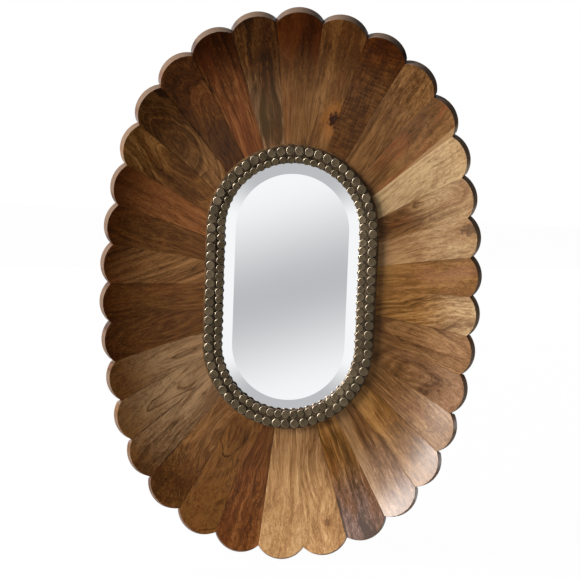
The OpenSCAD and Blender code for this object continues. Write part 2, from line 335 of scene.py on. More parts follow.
def line_bend(g, put, place):
    """How far the lines of the grain wander sideways."""
    slow = g.math("SUBTRACT", g.noise(place, *GRAIN["slow_bend"]), 0.5)
    quick = g.math("SUBTRACT", g.noise(place, *GRAIN["quick_bend"]), 0.5)
    return g.math("MULTIPLY", g.math("MULTIPLY_ADD", quick, 0.3, slow), put["Warp"])


def pith_distance(g, put, x, y, bend, bulge):
    """Distance from a pith line that rises through the board."""
    pith_x, pith_y, pith_z = g.separate(put["Pith"])
    side = g.math("ADD", g.math("SUBTRACT", x, pith_x), g.math("MULTIPLY", y, put["Lean"]))
    side = g.math("ADD", side, g.math("MULTIPLY", bend, 2.0))
    depth = g.math("MULTIPLY", g.math("SUBTRACT", y, pith_y), put["Rise"])
    depth = g.math("ADD", g.math("ADD", depth, pith_z), bend)
    radius = g.vector("LENGTH", g.combine(side, depth, 0.0))
    return g.math("ADD", radius, g.math("MULTIPLY", bulge, KNOT_PUSH))


def ring_fields(g, put, place, y, radius, kind):
    """Growth rings at uneven distances from the pith, and the dark veins between some of them."""
    turn = g.math("DIVIDE", radius, put["Pitch"])
    ring = g.noise(g.combine(turn, kind, g.math("MULTIPLY", y, 2.0)), *GRAIN["ring"])
    broad = g.noise(g.combine(turn, g.math("MULTIPLY", y, 4.0), kind), *GRAIN["broad_ring"])
    vein = g.step(g.math("ABSOLUTE", g.math("SUBTRACT", broad, 0.5)), *FADE["vein"])
    gaps = g.step(g.noise(place, *GRAIN["vein_gaps"]), *FADE["vein_gaps"])
    return ring, g.math("MULTIPLY", vein, gaps)


def board_tone(g, put, y, evens, lines):
    """Tone from 0, dark, to 1, light: noises about their middle, and lines that only add or take."""
    tone = g.math("ADD", put["Shade"], 0.5)
    for value, weight in evens:
        tone = g.math("ADD", tone, g.math("MULTIPLY", g.math("SUBTRACT", value, 0.5), weight))
    for value, weight in lines:
        tone = g.math("ADD", tone, g.math("MULTIPLY", value, weight))
    # Paler roots: partly the board's own tone, partly painted light that cancels the shade beside the
    # moulding
    lift = g.math("MULTIPLY", g.step(y, *FADE["root"]), put["Root lift"])
    return g.math("ADD", tone, lift)


def end_to_end_colour(g, put, y, tone, streak):
    """The board's colour, from the tones at its root to those at its tip."""
    lower = g.math("MULTIPLY", tone, 2.0, clamp=True)
    upper = g.math("MULTIPLY_ADD", tone, 2.0, -1.0, clamp=True)
    root = g.mix(upper, g.mix(lower, put["Root dark"], put["Root mid"]), put["Root light"])
    tip = g.mix(upper, g.mix(lower, put["Tip dark"], put["Tip mid"]), put["Tip light"])
    bound = g.math("MULTIPLY_ADD", g.math("SUBTRACT", streak, 0.5), 0.08, y)
    bound = g.math("DIVIDE", g.math("SUBTRACT", bound, put["Tip start"]), put["Tip blur"])
    return g.mix(g.step(bound, *FADE["tip"]), root, tip)


def add_sap(g, put, x, y, bend, colour):
    """Sapwood: a pale strip along one edge."""
    sap_edge, sap_side, sap_share = g.separate(put["Sap"])
    reach = g.math("MULTIPLY", g.math("ADD", x, g.math("MULTIPLY", bend, 0.5)), sap_side)
    beyond = g.math("SUBTRACT", reach, g.math("MULTIPLY_ADD", y, WIDENING, sap_edge))
    sap = g.math("MULTIPLY", g.step(beyond, *FADE["sap"]), sap_share)
    return g.mix(sap, colour, g.mix(SAP_SHARE, colour, rgb(PALE_SAP)))


def add_knot(g, put, away, colour):
    """The knot's amber halo and dark core."""
    halo = g.math("MULTIPLY", g.step(away, *FADE["halo"]), put["Knot depth"])
    colour = g.mix(g.math("MULTIPLY", halo, HALO_SHARE), colour, put["Halo colour"])
    core = g.math("MULTIPLY", g.step(away, *FADE["core"]), put["Knot depth"])
    return g.mix(core, colour, put["Knot colour"])


def sawn_end(g, put, place):
    """Where the sawn end is, and its colour: paler and greyer, with the rings crossing the board."""
    normal = g.node("ShaderNodeTexCoord").outputs["Normal"]
    facing = g.step(g.vector("DOT_PRODUCT", normal, put["Outward"]), *FADE["end"])
    speckle = g.noise(place, *GRAIN["end_speckle"])
    crossing = g.noise(place, *GRAIN["end_rings"])
    grain = g.math("MULTIPLY_ADD", speckle, 0.5, g.math("MULTIPLY_ADD", crossing, 0.4, 0.5))
    base = g.mix(TIP_IN_SAWN, rgb(SAWN_TONE), put["Tip light"])
    return facing, g.mix(1.0, base, g.combine(grain, grain, grain), "MULTIPLY")


def wood_tree():
    """An empty node group with the sockets of a board."""
    tree = bpy.data.node_groups.new("wood", "ShaderNodeTree")
    for names, kind in ((WOOD_VECTORS, "NodeSocketVector"), (WOOD_COLOURS, "NodeSocketColor"),
                        (WOOD_NUMBERS, "NodeSocketFloat")):
        for name in names:
            tree.interface.new_socket(name, in_out="INPUT", socket_type=kind)
    tree.interface.new_socket("Colour", in_out="OUTPUT", socket_type="NodeSocketColor")
    for name in ("Roughness", "Height", "Polish"):
        tree.interface.new_socket(name, in_out="OUTPUT", socket_type="NodeSocketFloat")
    return tree


def wood_group():
    """The node group of a board: its place and its own numbers in, its looks out."""
    tree = wood_tree()
    g = Graph(tree)
    put = g.node("NodeGroupInput").outputs
    out = g.node("NodeGroupOutput").inputs

    seed = put["Seed"]
    place = g.vector("ADD", put["Place"], g.combine(seed, g.math("MULTIPLY", seed, 0.7), seed))
    x, y = g.separate(put["Place"])[:2]
    away, bulge = knot_fields(g, put, place, x, y)
    bend = line_bend(g, put, place)
    radius = pith_distance(g, put, x, y, bend, bulge)
    kind = g.math("MULTIPLY", seed, 11.0)
    ring, vein = ring_fields(g, put, place, y, radius, kind)

    # Heartwood patches with crisp sides, streaks and fine fibres, along the bent lines
    patch = g.step(g.noise(g.combine(radius, y, kind), *GRAIN["patch"]), *FADE["patch"])
    grained = g.vector("ADD", place, g.combine(g.math("MULTIPLY_ADD", y, put["Lean"], bend), 0.0, 0.0))
    streak = g.noise(grained, *GRAIN["streak"])
    fibre = g.noise(grained, *GRAIN["fibre"])
    cross = g.noise(place, *GRAIN["cross"])
    mottle = g.noise(grained, *GRAIN["mottle"])
    dark_line = g.step(g.noise(grained, *GRAIN["dark_line"]), *FADE["dark_line"])
    elsewhere = g.vector("ADD", grained, (3.1, 0.7, 1.9))
    pale_line = g.step(g.noise(elsewhere, *GRAIN["pale_line"]), *FADE["pale_line"])
    evens = ((ring, g.math("MULTIPLY", put["Rings"], RING_WEIGHT)),
             (streak, g.math("MULTIPLY", put["Streaks"], STREAK_WEIGHT)),
             (patch, put["Patches"]),
             (cross, g.math("MULTIPLY", put["Cross"], CROSS_WEIGHT)),
             (fibre, FIBRE_WEIGHT),
             (mottle, MOTTLE_WEIGHT))
    lines = ((vein, g.math("MULTIPLY", put["Veins"], -1.0)),
             (dark_line, g.math("MULTIPLY", put["Streaks"], DARK_LINE_WEIGHT)),
             (pale_line, g.math("MULTIPLY", put["Streaks"], PALE_LINE_WEIGHT)))
    tone = board_tone(g, put, y, evens, lines)
    colour = end_to_end_colour(g, put, y, tone, streak)

    blush = g.step(g.noise(grained, *GRAIN["blush"]), *FADE["blush"])
    blush = g.math("MULTIPLY", blush, put["Blush share"])
    colour = g.mix(blush, colour, g.mix(0.4, put["Blush"], colour))
    colour = add_sap(g, put, x, y, bend, colour)

    # Pores are short dark dashes along the grain
    pore = g.step(g.noise(grained, *GRAIN["pore"]), *FADE["pore"])
    colour = g.mix(g.math("MULTIPLY", pore, PORE_SHARE), colour, rgb(PORE_TONE), "MULTIPLY")
    colour = add_knot(g, put, away, colour)
    facing, sawn = sawn_end(g, put, place)
    g.feed(g.mix(facing, colour, sawn), out["Colour"])

    rough = g.math("MULTIPLY_ADD", fibre, FIBRE_ROUGHNESS, FACE_ROUGHNESS)
    g.feed(g.math("MULTIPLY_ADD", facing, SAWN_ROUGHNESS, rough), out["Roughness"])
    height = g.math("MULTIPLY_ADD", pore, PORE_HEIGHT, g.math("MULTIPLY", fibre, FIBRE_HEIGHT))
    height = g.math("ADD", height, g.math("MULTIPLY", ring, RING_HEIGHT))
    waves = g.math("MULTIPLY", cross, g.math("MULTIPLY", put["Cross"], CROSS_HEIGHT))
    height = g.math("ADD", height, waves)
    g.feed(height, out["Height"])

    # The face is polished brightest near its outer end
    polish = g.math("MULTIPLY", g.step(y, *FADE["polish"]), g.math("SUBTRACT", 1.0, facing))
    g.feed(polish, out["Polish"])
    return tree


# Tones of the boards, each dark, middle and light
TONES = {
    "umber": ("1c0a00", "3d1901", "603004"),
    "walnut": ("301a08", "533112", "7b5026"),
    "brown": ("40260c", "6c4724", "966a3e"),
    "russet": ("3f230f", "693c1a", "945e33"),
    "golden": ("52340f", "835728", "ae7e46"),
    "tan": ("684422", "926941", "ba8e60"),
    "straw": ("836040", "a8845b", "caa87a"),
    "peach": ("8a623c", "b48758", "d6ad7a"),
    "mauve": ("4c382c", "75584a", "9b7d6b"),
    "ash": ("483319", "6f5033", "9b7a56"),
    "rose": ("684226", "916a48", "ba9270"),
}

# Figures of the boards, and how strongly each part of them shows
FIGURES = {
    "plain": dict(pitch=0.007, rings=0.3, pith=(0.06, 0.0, 0.03), veins=0.2),
    "straight": dict(pitch=0.005, rings=0.6, pith=(0.12, 0.0, 0.02), streaks=0.8),
    "arcs": dict(pitch=0.006, rings=0.6, pith=(0.004, 0.02, -0.004), rise=0.26, warp=0.016, veins=0.6),
    "swirl": dict(pitch=0.008, rings=0.65, pith=(0.012, 0.05, -0.004), rise=0.4, warp=0.06, veins=0.6),
    "diagonal": dict(pitch=0.007, rings=0.7, pith=(0.05, 0.0, 0.01), lean=0.5, veins=0.5),
    "cross": dict(pitch=0.007, rings=0.3, pith=(0.06, 0.0, 0.03), cross=0.6),
    "wavy": dict(pitch=0.006, rings=0.7, pith=(0.03, -0.01, -0.01), rise=0.14, warp=0.035, streaks=0.7),
}
USUAL = dict(rise=0.0, lean=0.0, warp=0.010, veins=0.3, streaks=0.5, patches=0.2, cross=0.05,
             knot=(0.0, 0.0, 0.01), knot_depth=0.0, sap=(0.0, 0.0, 0.0), tip_start=0.11, tip_blur=0.05,
             shade=0.0, root_lift=0.0, blush="7a3a18", blush_share=0.2,
             knot_colour="1d0c05", halo_colour="7f4a1e", coat=0.0)


def board(root_tone, tip_tone, figure, **own):
    """One petal's tone at its root and at its tip, its figure and what differs from that figure."""
    return root_tone, tip_tone, figure, own


# The petals clockwise from the top
PETALS = [
    # The top and the upper right
    board("brown", "umber", "plain", shade=0.05, blush_share=0.3, tip_start=0.15),
    board("brown", "walnut", "plain", shade=0.13, knot=(0.015, 0.071, 0.008), knot_depth=0.95,
          halo_colour="a8682c", knot_colour="2a1008", tip_start=0.15, patches=0.3),
    board("walnut", "umber", "cross", shade=0.03, tip_start=0.18, blush_share=0.1, cross=0.9),
    board("brown", "brown", "straight", shade=0.1, blush_share=0.05),
    board("brown", "brown", "plain", root_lift=0.08, shade=0.09, blush="9a5430", blush_share=0.8,
          sap=(0.0165, 1.0, 0.7), patches=0.3),
    board("straw", "straw", "straight", shade=0.3, blush_share=0.05),
    board("brown", "straw", "arcs", root_lift=0.3, shade=0.07, tip_start=0.11, blush_share=0.35,
          rings=1.0, pith=(-0.006, 0.1, 0.0), rise=0.3, warp=0.014, knot=(0.002, 0.055, 0.003),
          knot_depth=0.4),
    board("tan", "straw", "straight", root_lift=0.36, shade=0.07, rings=0.4, blush_share=0.05,
          tip_start=0.08, knot=(-0.006, 0.150, 0.009), knot_depth=0.8, knot_colour="5c4029"),
    # The right side
    board("golden", "golden", "plain", root_lift=0.26, shade=-0.05, blush="a06a4c", blush_share=0.6),
    board("golden", "straw", "straight", shade=0.08, lean=0.25, pitch=0.007, rings=1.2, warp=0.02,
          blush_share=0.1, tip_start=0.11),
    board("brown", "tan", "arcs", root_lift=0.12, shade=0.08, tip_start=0.1, rings=0.8,
          pith=(-0.01, 0.075, 0.0), rise=0.25),
    board("brown", "rose", "swirl", root_lift=0.45, shade=-0.14, tip_start=0.13, rings=0.7, veins=0.25,
          pith=(-0.002, 0.105, 0.0), rise=0.5, warp=0.03, knot=(-0.002, 0.145, 0.0022), knot_depth=0.6,
          blush="996b4c", blush_share=0.4),
    board("brown", "tan", "straight", root_lift=0.5, shade=0.06, blush="8a4a1c", blush_share=0.4,
          tip_start=0.10, coat=1.0),
    # The lower right and the bottom
    board("golden", "tan", "straight", shade=0.1, tip_start=0.14, blush_share=0.1, patches=0.4,
          coat=1.0),
    board("brown", "rose", "straight", root_lift=0.4, patches=0.3, blush_share=0.1, tip_start=0.13,
          coat=1.0, sap=(-0.004, 1.0, 0.3)),
    board("golden", "mauve", "straight", root_lift=0.7, shade=-0.5, coat=0.12, streaks=1.2, patches=0.7,
          tip_start=0.14, blush="8a5014", blush_share=0.5),
    board("tan", "peach", "wavy", shade=-0.02, knot=(-0.012, 0.185, 0.004), knot_depth=0.5,
          blush_share=0.1, tip_start=0.10),
    board("tan", "peach", "wavy", shade=0.06, rings=0.5, warp=0.015, blush_share=0.05, tip_start=0.08),
    # The lower left
    board("walnut", "russet", "wavy", shade=0.11, tip_start=0.07, blush_share=0.2),
    board("walnut", "walnut", "swirl", root_lift=0.26, rings=0.5, shade=0.23),
    board("brown", "walnut", "swirl", rings=0.6, shade=0.12, tip_start=0.13, streaks=0.7),
    board("ash", "walnut", "straight", shade=0.13, tip_start=0.17, blush_share=0.1),
    board("ash", "walnut", "arcs", rise=0.12, tip_start=0.16, blush_share=0.05, shade=0.42),
    # The left side
    board("ash", "walnut", "arcs", rise=0.16, tip_start=0.13, veins=0.9, blush_share=0.1, shade=0.2),
    board("walnut", "umber", "arcs", shade=-0.04, blush_share=0.1, tip_start=0.14),
    board("walnut", "umber", "plain", shade=0.09, tip_start=0.13, blush_share=0.2),
    board("brown", "umber", "diagonal", shade=0.16, rings=1.0, tip_start=0.12),
    board("walnut", "umber", "arcs", shade=0.0, rise=0.14, tip_start=0.13, blush_share=0.1,
          knot=(-0.012, 0.07, 0.0025), knot_depth=0.6),
    board("russet", "umber", "plain", shade=0.13, patches=0.1, blush_share=0.2, tip_start=0.15),
    # The upper left
    board("walnut", "golden", "swirl", root_lift=0.7, rings=1.1, tip_start=0.14, shade=-0.03,
          pith=(0.013, 0.103, 0.0), rise=0.45, warp=0.03, pitch=0.006),
    board("brown", "walnut", "swirl", rings=1.1, tip_start=0.12, blush_share=0.05, streaks=0.7,
          shade=-0.03, pith=(-0.015, 0.116, 0.0), rise=0.45, warp=0.03, pitch=0.006),
    board("walnut", "russet", "swirl", rings=0.9, shade=-0.17, tip_start=0.13, blush_share=0.05),
    board("russet", "umber", "straight", shade=-0.02, blush="8a3c18", blush_share=0.25, tip_start=0.17),
    board("ash", "walnut", "arcs", root_lift=0.75, shade=-0.28, pith=(0.007, 0.10, 0.0), rise=0.14,
          warp=0.02, rings=0.9, pitch=0.009, streaks=0.9, patches=0.4, tip_start=0.12),
]


# Share of a petal's vertices that counts as its root, and as its tip
END_SHARE = 0.1


def board_frame(node):
    """Where a petal lies: its root, and its axes across and outward."""
    points = np.array([v.co for v in NODES[node].data.vertices])
    flat = points[:, [0, 2]]
    reach = np.linalg.norm(flat, axis=1)
    tip = flat[reach > np.quantile(reach, 1.0 - END_SHARE)].mean(axis=0)
    root = flat[reach < np.quantile(reach, END_SHARE)].mean(axis=0)
    outward = Vector((tip[0] - root[0], 0.0, tip[1] - root[1])).normalized()
    level = float(points[:, 1].max())
    return Vector((root[0], level, root[1])), outward.cross(FRONT), outward


# The wood shines little, and the polish of some boards is a soft coat over it
WOOD_SHINE = 0.12
COAT_ROUGHNESS = 0.28
GRAIN_BUMP = 0.35
GRAIN_DEPTH = 0.0004
# Each petal is cut from its own place in the noises
SEED_STEP = 1.37


def petal_material(index, wood):
    """The wood of one petal, with the group's inputs set to that board's own values."""
    root_tone, tip_tone, figure, own = PETALS[index - 1]
    look = {**USUAL, **FIGURES[figure], **own}
    node = "petal_%02d" % index
    origin, across, outward = board_frame(node)
    made, g, shader = new_material("wood_" + node)
    place = g.node("ShaderNodeMapping", vector_type="TEXTURE")
    g.feed(object_place(g), place.inputs["Vector"])
    place.inputs["Location"].default_value = origin
    place.inputs["Rotation"].default_value = Matrix((across, outward, FRONT)).transposed().to_euler()
    group = g.node("ShaderNodeGroup", node_tree=wood)
    g.feed(place.outputs[0], group.inputs["Place"])
    group.inputs["Outward"].default_value = outward
    for name in ("Pith", "Knot", "Sap"):
        group.inputs[name].default_value = look[name.lower()]
    for end, tone in (("Root", root_tone), ("Tip", tip_tone)):
        for share, code in zip(("dark", "mid", "light"), TONES[tone]):
            group.inputs[end + " " + share].default_value = rgb(code)
    for name in ("Blush", "Knot colour", "Halo colour"):
        group.inputs[name].default_value = rgb(look[name.lower().replace(" ", "_")])
    for name in WOOD_NUMBERS[1:]:
        group.inputs[name].default_value = look[name.lower().replace(" ", "_")]
    group.inputs["Seed"].default_value = index * SEED_STEP
    g.feed(group.outputs["Colour"], shader.inputs["Base Color"])
    g.feed(group.outputs["Roughness"], shader.inputs["Roughness"])
    g.feed(g.bump(group.outputs["Height"], GRAIN_BUMP, GRAIN_DEPTH), shader.inputs["Normal"])
    shader.inputs["Specular IOR Level"].default_value = WOOD_SHINE
    if look["coat"] > 0:
        g.feed(g.math("MULTIPLY", group.outputs["Polish"], look["coat"]), shader.inputs["Coat Weight"])
        shader.inputs["Coat Roughness"].default_value = COAT_ROUGHNESS
    return made


# Size of an eased arris, and the angle in degrees from which an edge is an arris
ARRIS = 0.0005
ARRIS_ANGLE = 35.0
# Edges flatter than this, in degrees, are dissolved first
FLAT_ANGLE = 0.4
# How far each face moves out, so that no light shows through a joint
TIGHTENING = 0.00013
# The farthest a corner may move, as a multiple of that
CORNER_LIMIT = 2.0


def eased_petal(node, material):
    """The petal with its sharp arrises rounded, as sanding leaves them."""
    bm = cad_mesh(node)
    bmesh.ops.dissolve_limit(bm, angle_limit=math.radians(FLAT_ANGLE), verts=bm.verts, edges=bm.edges)
    bm.normal_update()
    for vert in bm.verts:
        vert.co += vert.normal * min(vert.calc_shell_factor(), CORNER_LIMIT) * TIGHTENING
    sharp = [e for e in bm.edges
             if len(e.link_faces) == 2 and e.calc_face_angle() > math.radians(ARRIS_ANGLE)]
    bmesh.ops.bevel(bm, geom=sharp, offset=ARRIS, offset_type="OFFSET", segments=2, profile=0.5,
                    affect="EDGES", clamp_overlap=True)
    for face in bm.faces:
        face.smooth = True
    piece = new_piece(bm, "eased_" + node)
    weighted = piece.modifiers.new("weighted", "WEIGHTED_NORMAL")
    weighted.keep_sharp = True
    dress(piece, material)
    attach(piece, MIRROR)
    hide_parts(node)
    return piece


wood = wood_group()
for index in range(1, len(PETALS) + 1):
    node = "petal_%02d" % index
    petal = eased_petal(node, petal_material(index, wood))


# Metal of the moulding and the nails

# Distance of the cladding's flange in front of the origin, and where above it the darker patina and
# painted shade start
FLANGE_LEVEL = 0.0298
FLANGE_BLEND = (0.003, 0.0005)
PATINA_SHINE = 0.2
FINE_GRIT = (900, 900, 900)
GRIT_ROUGHNESS = 0.2
PATINA_EDGES = (0.35, 0.65)
NAIL_DENTS = (330, 330, 330)


def aged_metal(name, dark, light, metallic, roughness, bump_depth):
    """Metal with cloudy patina, fine grit and small dents."""
    made, g, shader = new_material(name)
    place = object_place(g)
    cloud = g.noise(place, (60, 60, 60), 3)
    grit = g.noise(place, FINE_GRIT, 2)
    share = g.math("ADD", g.math("MULTIPLY", cloud, 0.6), g.math("MULTIPLY", grit, 0.4))
    g.feed(g.mix(g.step(share, *PATINA_EDGES), rgb(dark), rgb(light)), shader.inputs["Base Color"])
    g.feed(g.math("MULTIPLY_ADD", grit, GRIT_ROUGHNESS, roughness), shader.inputs["Roughness"])
    g.feed(g.bump(g.noise(place, NAIL_DENTS, 2), 0.5, bump_depth), shader.inputs["Normal"])
    shader.inputs["Metallic"].default_value = metallic
    shader.inputs["Specular IOR Level"].default_value = PATINA_SHINE
    return made


def cladding_metal():
    """Sheet metal, darkened between the nails by patina and by painted shade, and brighter on the
    flange.
    """
    made, g, shader = new_material("sheet_metal")
    place = object_place(g)
    level = g.math("MULTIPLY", g.separate(place)[1], -1.0)
    flange = g.step(level, FLANGE_LEVEL + FLANGE_BLEND[0], FLANGE_LEVEL + FLANGE_BLEND[1])
    cloud = g.noise(place, (120, 120, 120), 3)
    grit = g.noise(place, FINE_GRIT, 2)
    share = g.math("MULTIPLY_ADD", grit, 0.3, g.math("MULTIPLY", cloud, 0.7))
    share = g.step(share, *PATINA_EDGES)
    # Darker between the nails: patina, and painted shade where the heads crowd the sheet
    top = g.mix(share, rgb("2b2013"), rgb("51412b"))
    rubbed = g.mix(share, rgb("4c3621"), rgb("7c5b39"))
    g.feed(g.mix(flange, top, rubbed), shader.inputs["Base Color"])
    g.feed(g.math("MULTIPLY_ADD", grit, GRIT_ROUGHNESS, 0.4), shader.inputs["Roughness"])
    g.feed(g.bump(cloud, 0.5, 0.0003), shader.inputs["Normal"])
    shader.inputs["Metallic"].default_value = 0.4
    shader.inputs["Specular IOR Level"].default_value = PATINA_SHINE
    return made


def islands(node):
    """Vertex positions of each separate solid of a CAD node."""
    bm = cad_mesh(node)
    bm.verts.ensure_lookup_table()
    seen = set()
    found = []
    for start in bm.verts:
        if start.index in seen:
            continue
        stack = [start]
        seen.add(start.index)
        points = []
        while stack:
            vert = stack.pop()
            points.append(vert.co.copy())
            for edge in vert.link_edges:
                other = edge.other_vert(vert)
                if other.index not in seen:
                    seen.add(other.index)
                    stack.append(other)
        found.append(np.array(points))
    bm.free()
    return found


# Vertices beyond this share of the radius are on the rim
RIM_SHARE = 0.98


def nail_frame(points):
    """Underside centre, axis towards the viewer, radius and height of one nail's head."""
    centre = points.mean(axis=0)
    front = np.array(FRONT)
    spread = points - centre
    vectors = np.linalg.eigh(spread.T @ spread)[1]
    axis = vectors[:, np.argmax(np.abs(vectors.T @ front))]
    axis = axis if axis @ front > 0 else -axis
    along = spread @ axis
    across = np.linalg.norm(spread - np.outer(along, axis), axis=1)
    radius = across.max()
    rim = along[across > radius * RIM_SHARE]
    return centre + axis * rim.min(), axis, radius, along.max() - rim.min()


# Shares of a head's radius and height, from the middle of its face to its underside
HEAD_PROFILE = [(0.0, 0.95), (0.42, 0.955), (0.71, 0.98), (0.81, 1.0), (0.87, 0.985), (0.93, 0.9),
                (0.97, 0.75), (0.99, 0.55), (1.0, 0.4), (1.0, -0.35)]
# The face ends at this share of the radius, and the brighter bevel begins
FACE_REACH = 0.83
HEAD_SIDES = 40
# Spread of a head's lean and of its shift in metres, and how much its rim swells at each lobe
LEAN = 0.045
SHIFT = 0.0003
LOBE_SHARE = 0.012
LOBE_COUNTS = (3, 4, 5)
# How far a head on the slope turns back towards the front when it is driven home
LEVELLING = 0.5
# Least and largest size of a head beside that of its CAD node
OUTER_SWELL = (1.02, 1.08)
INNER_SWELL = (1.05, 1.14)
# How far the inner heads reach past their seats over the edge of the glass
OVERHANG = 0.0014
# Length of the straight sides of the glass
GLASS_STRAIGHT = 0.190


def set_by_hand(points, inward):
    """Place, direction, radius and height of one head, a little off its seat in the CAD model."""
    base, axis, radius, height = nail_frame(points)
    axis = Vector(axis)
    lean = Vector([random.gauss(0, LEAN) for _ in range(3)])
    up = (axis.lerp(FRONT, LEVELLING) + lean).normalized()
    base = Vector(base) + Vector((random.gauss(0, SHIFT), 0.0, random.gauss(0, SHIFT)))
    height_on_spine = max(-GLASS_STRAIGHT / 2, min(GLASS_STRAIGHT / 2, base.z))
    to_spine = Vector((-base.x, 0.0, height_on_spine - base.z)).normalized()
    along_seat = to_spine - axis * to_spine.dot(axis)
    return base + along_seat.normalized() * inward, up, radius, height


def add_head(bm, base, up, radius, height, swell_range):
    """One head: a crowned face, a bevel, and a rim that isn't quite round."""
    side = up.orthogonal().normalized()
    other = up.cross(side)
    start = random.uniform(0, 2 * math.pi)
    lobes = random.choice(LOBE_COUNTS)
    swell = random.uniform(*swell_range)
    rings = []
    for reach, rise in HEAD_PROFILE[1:]:
        ring = []
        for step in range(HEAD_SIDES):
            angle = 2 * math.pi * step / HEAD_SIDES
            wobble = swell * (1 + LOBE_SHARE * math.sin(lobes * angle + start))
            out = side * math.cos(angle) + other * math.sin(angle)
            ring.append(bm.verts.new(base + out * radius * reach * wobble + up * height * rise))
        rings.append(ring)
    crown = bm.verts.new(base + up * height * HEAD_PROFILE[0][1])
    for step in range(HEAD_SIDES):
        following = (step + 1) % HEAD_SIDES
        bm.faces.new((crown, rings[0][step], rings[0][following]))
        for level, (inner, outer) in enumerate(zip(rings, rings[1:])):
            face = bm.faces.new((inner[step], outer[step], outer[following], inner[following]))
            face.material_index = 1 if HEAD_PROFILE[level + 1][0] > FACE_REACH else 0


def nail_heads(node, name, materials, inward, swell_range):
    """Domed and bevelled nail heads, each set a little differently by hand."""
    bm = bmesh.new()
    for points in islands(node):
        add_head(bm, *set_by_hand(points, inward), swell_range)
    for face in bm.faces:
        face.smooth = True
    piece = new_piece(bm, name)
    for material in materials:
        piece.data.materials.append(material)
    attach(piece, MIRROR)
    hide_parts(node)
    return piece


face_metal = aged_metal("nail_face", "463a27", "62533c", 0.25, 0.38, 0.0002)
rim_metal = aged_metal("nail_rim", "7a6d5a", "c0b29c", 1.0, 0.28, 0.0001)
for node, inward, swell in (("outer_nails", 0.0, OUTER_SWELL), ("inner_nails", OVERHANG, INNER_SWELL)):
    heads = nail_heads(node, node[:-1] + "_heads", (face_metal, rim_metal), inward, swell)
dress(NODES["moulding_cladding"], cladding_metal())


# Mirror glass: a clean silvered sheet

GLASS_CLOUD = 0.06


def mirror_material():
    """Silvered glass, so slightly uneven in tone that it doesn't show as a pattern."""
    made, g, shader = new_material("silvered_glass")
    cloud = g.math("MULTIPLY", g.noise(object_place(g), (9, 9, 9), 2), GLASS_CLOUD)
    g.feed(g.mix(cloud, rgb("fbfcfd"), rgb("e6e9ec")), shader.inputs["Base Color"])
    shader.inputs["Metallic"].default_value = 1.0
    shader.inputs["Roughness"].default_value = 0.0
    return made


dress(NODES["mirror_glass"], mirror_material())


# Back: plywood ring, hardboard panel, steel fittings and rubber bumpers

# Thickness of two plies together
PLY_PAIR = 0.003


def sawn_material(name, face_tones, edge_tones):
    """Plain sawn wood: streaks and fibres on its faces, and plies or rings on its edges."""
    made, g, shader = new_material(name)
    place = object_place(g)
    depth = g.separate(place)[1]
    ply = g.step(g.math("SINE", g.math("MULTIPLY", depth, 2 * math.pi / PLY_PAIR)), -0.15, 0.15)
    wander = g.math("MULTIPLY", g.noise(place, (9, 9, 3), 2), 0.12)
    streak = g.noise(g.vector("ADD", place, g.combine(0.0, 0.0, wander)), (120, 20, 7), 3)
    fibre = g.noise(place, (800, 800, 40), 2)
    share = g.math("ADD", g.math("MULTIPLY", streak, 0.7), g.math("MULTIPLY", fibre, 0.3))
    face = g.mix(g.step(share, 0.35, 0.65), rgb(face_tones[0]), rgb(face_tones[1]))
    edge = g.mix(ply, rgb(edge_tones[0]), rgb(edge_tones[1]))
    normal = g.node("ShaderNodeTexCoord").outputs["Normal"]
    flat = g.step(g.math("ABSOLUTE", g.separate(normal)[1]), 0.4, 0.6)
    g.feed(g.mix(flat, edge, face), shader.inputs["Base Color"])
    shader.inputs["Roughness"].default_value = 0.7
    g.feed(g.bump(fibre, 0.3, 0.0003), shader.inputs["Normal"])
    return made


def hardboard_material():
    """Pressed fibres: fine chips of two browns."""
    made, g, shader = new_material("hardboard")
    place = object_place(g)
    chip = g.noise(place, (420, 420, 420), 3, 0.65)
    cloud = g.noise(place, (14, 14, 14), 3)
    share = g.math("ADD", g.math("MULTIPLY", chip, 0.82), g.math("MULTIPLY", cloud, 0.18))
    g.feed(g.mix(g.step(share, 0.35, 0.65), rgb("5a3f28"), rgb("85613f")), shader.inputs["Base Color"])
    shader.inputs["Roughness"].default_value = 0.78
    g.feed(g.bump(chip, 0.4, 0.0004), shader.inputs["Normal"])
    return made


# Dull plating reflects the dark room only in part
STEEL_METALLIC = 0.4


def steel_material():
    """Zinc-plated steel, cloudy and slightly rough."""
    made, g, shader = new_material("zinc_plated_steel")
    place = object_place(g)
    grain = g.noise(place, (500, 500, 500), 2)
    cloud = g.noise(place, (90, 90, 90), 2)
    g.feed(g.mix(g.step(cloud, 0.3, 0.7), rgb("96989a"), rgb("bcbdbb")), shader.inputs["Base Color"])
    shader.inputs["Metallic"].default_value = STEEL_METALLIC
    g.feed(g.math("MULTIPLY_ADD", grain, 0.2, 0.36), shader.inputs["Roughness"])
    g.feed(g.bump(grain, 0.2, 0.0001), shader.inputs["Normal"])
    return made


def rubber_material():
    """Black rubber with a fine matt grain."""
    made, g, shader = new_material("black_rubber")
    grain = g.noise(object_place(g), (900, 900, 900), 2)
    g.feed(g.mix(grain, rgb("1b1b1b"), rgb("2c2c2c")), shader.inputs["Base Color"])
    shader.inputs["Roughness"].default_value = 0.75
    g.feed(g.bump(grain, 0.4, 0.0002), shader.inputs["Normal"])
    return made


# How far the petal screws stand out of the ring, so that their heads show
HEAD_STAND = 0.0002
# Vertices as near as this to the rearmost one are on the heads' rear faces
REAR_TOLERANCE = 1e-5


def standing_screws(node, name, material):
    """The petal screws, with the rear faces of their heads moved out of the ring."""
    bm = cad_mesh(node)
    back = max(vert.co.y for vert in bm.verts)
    for vert in bm.verts:
        if vert.co.y > back - REAR_TOLERANCE:
            vert.co.y += HEAD_STAND
    piece = new_piece(bm, name)
    dress(piece, material)
    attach(piece, MIRROR)
    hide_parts(node)
    return piece


